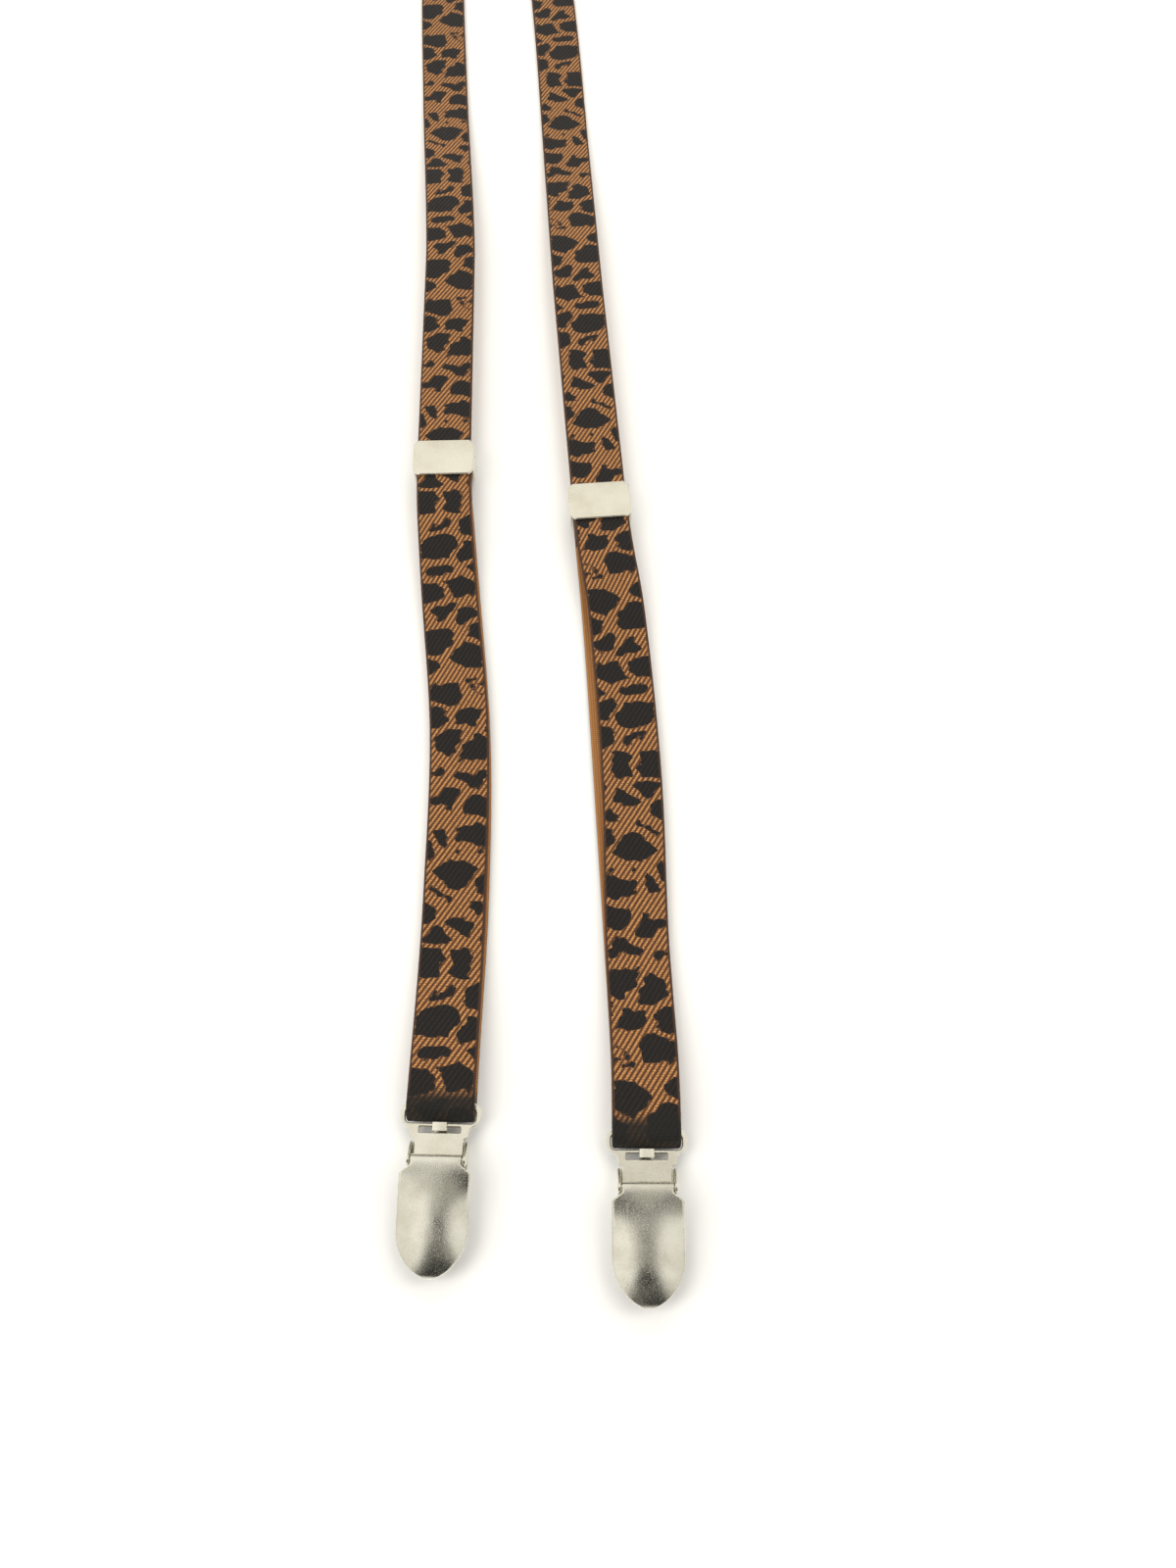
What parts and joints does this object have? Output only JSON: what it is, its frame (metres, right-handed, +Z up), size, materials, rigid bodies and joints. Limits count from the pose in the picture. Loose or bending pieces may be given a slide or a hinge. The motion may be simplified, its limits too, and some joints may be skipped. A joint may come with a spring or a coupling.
{
  "type": "clip-on suspenders",
  "caption": "Narrow Y-back elastic suspenders with a spotted jacquard weave, metal slide adjusters and metal lever clips, laid out flat.",
  "frame": {"origin": "on the surface it lies on, under the middle of the whole laid-out part", "axes": "+Y from the front clips to the back clip, +X to the right of the front pair seen from above with the printed face up, +Z up out of the printed face"},
  "size_m": [0.065, 0.9728, 0.0075],
  "materials": {
    "webbing": "elastic jacquard webbing, tan ground with dark brown spots, diagonal twill",
    "clip_metal": "satin nickel plate with a warm cast and fine wear",
    "adjuster_metal": "satin nickel plate with a warm cast",
    "yoke_leather": "black smooth leather, stitched edge",
    "grip_pad": "ridged black plastic"
  },
  "bodies": {
    "root": {"strap_front_left_upper": "webbing", "strap_front_left_lower": "webbing", "strap_front_right_upper": "webbing", "strap_front_right_lower": "webbing", "yoke_patch_front": "yoke_leather", "yoke_patch_back": "yoke_leather", "strap_back": "webbing"},
    "left_hanger": {"strap_fold_left": "webbing"},
    "left_adjuster": {"adjuster_cover_left": "adjuster_metal", "adjuster_bar_left": "adjuster_metal", "adjuster_lock_pin_left": "adjuster_metal", "strap_end_loop_left": "webbing", "strap_return_left": "webbing"},
    "left_lock": {"adjuster_lock_left": "adjuster_metal"},
    "left_clip": {"clip_frame_left": "clip_metal", "clip_pad_front_left": "grip_pad"},
    "left_jaw": {"clip_back_plate_left": "clip_metal", "clip_pin_left": "clip_metal", "clip_pad_back_left": "grip_pad"},
    "left_lever": {"clip_lever_left": "clip_metal"},
    "right_hanger": {"strap_fold_right": "webbing"},
    "right_adjuster": {"adjuster_cover_right": "adjuster_metal", "adjuster_bar_right": "adjuster_metal", "adjuster_lock_pin_right": "adjuster_metal", "strap_end_loop_right": "webbing", "strap_return_right": "webbing"},
    "right_lock": {"adjuster_lock_right": "adjuster_metal"},
    "right_clip": {"clip_frame_right": "clip_metal", "clip_pad_front_right": "grip_pad"},
    "right_jaw": {"clip_back_plate_right": "clip_metal", "clip_pin_right": "clip_metal", "clip_pad_back_right": "grip_pad"},
    "right_lever": {"clip_lever_right": "clip_metal"},
    "back_clip": {"clip_frame_back": "clip_metal", "clip_pad_front_back": "grip_pad"},
    "back_jaw": {"clip_back_plate_back": "clip_metal", "clip_pin_back": "clip_metal", "clip_pad_back_back": "grip_pad"},
    "back_lever": {"clip_lever_back": "clip_metal"}
  },
  "joints": [
    {"name": "left_length", "type": "slide", "parent": "root", "child": "left_hanger", "axis": [0.031, 0.9995, 0], "range_m": [0, 0.035], "deforming": ["strap_front_left_lower"]},
    {"name": "left_adjuster_slide", "type": "slide", "parent": "left_hanger", "child": "left_adjuster", "axis": [0.031, 0.9995, 0], "range_m": [0, 0.035], "deforming": ["strap_return_left"]},
    {"name": "left_lock_tilt", "type": "hinge", "parent": "left_adjuster", "child": "left_lock", "pos_m": [-0.0207, -0.26339, 0.0033], "axis": [-0.9995, 0.031, 0], "range_deg": [0, 35]},
    {"name": "left_clip_swivel", "type": "hinge", "parent": "left_hanger", "child": "left_clip", "pos_m": [-0.02262, -0.44318, 0.00345], "axis": [-0.9971, 0.0767, 0], "range_deg": [0, 90]},
    {"name": "left_jaw_open", "type": "hinge", "parent": "left_clip", "child": "left_jaw", "pos_m": [-0.02299, -0.44797, 0.00365], "axis": [0.9971, -0.0767, 0], "range_deg": [0, 7]},
    {"name": "left_lever_open", "type": "hinge", "parent": "left_jaw", "child": "left_lever", "pos_m": [-0.02349, -0.4545, 0.00615], "axis": [-0.9971, 0.0767, 0], "range_deg": [0, 105]},
    {"name": "right_length", "type": "slide", "parent": "root", "child": "right_hanger", "axis": [-0.022, 0.9998, 0], "range_m": [0, 0.035], "deforming": ["strap_front_right_lower"]},
    {"name": "right_adjuster_slide", "type": "slide", "parent": "right_hanger", "child": "right_adjuster", "axis": [-0.022, 0.9998, 0], "range_m": [0, 0.035], "deforming": ["strap_return_right"]},
    {"name": "right_lock_tilt", "type": "hinge", "parent": "right_adjuster", "child": "right_lock", "pos_m": [0.02175, -0.28049, 0.0033], "axis": [-0.9998, -0.022, 0], "range_deg": [0, 35]},
    {"name": "right_clip_swivel", "type": "hinge", "parent": "right_hanger", "child": "right_clip", "pos_m": [0.02199, -0.45128, 0.00345], "axis": [-0.9982, 0.0593, 0], "range_deg": [0, 90]},
    {"name": "right_jaw_open", "type": "hinge", "parent": "right_clip", "child": "right_jaw", "pos_m": [0.0217, -0.45608, 0.00365], "axis": [0.9982, -0.0593, 0], "range_deg": [0, 7]},
    {"name": "right_lever_open", "type": "hinge", "parent": "right_jaw", "child": "right_lever", "pos_m": [0.02131, -0.46261, 0.00615], "axis": [-0.9982, 0.0593, 0], "range_deg": [0, 105]},
    {"name": "back_clip_swivel", "type": "hinge", "parent": "root", "child": "back_clip", "pos_m": [-0.00099, 0.45131, 0.00345], "axis": [1, 0, 0], "range_deg": [0, 90]},
    {"name": "back_jaw_open", "type": "hinge", "parent": "back_clip", "child": "back_jaw", "pos_m": [-0.00099, 0.45611, 0.00365], "axis": [-1, 0, 0], "range_deg": [0, 7]},
    {"name": "back_lever_open", "type": "hinge", "parent": "back_jaw", "child": "back_lever", "pos_m": [-0.00099, 0.46266, 0.00615], "axis": [1, 0, 0], "range_deg": [0, 105]}
  ],
  "couplings": [
    {"joint": "left_adjuster_slide", "follows": "left_length", "ratio": 1},
    {"joint": "left_jaw_open", "follows": "left_lever_open", "ratio": 0.066667},
    {"joint": "right_adjuster_slide", "follows": "right_length", "ratio": 1},
    {"joint": "right_jaw_open", "follows": "right_lever_open", "ratio": 0.066667},
    {"joint": "back_jaw_open", "follows": "back_lever_open", "ratio": 0.066667}
  ]
}
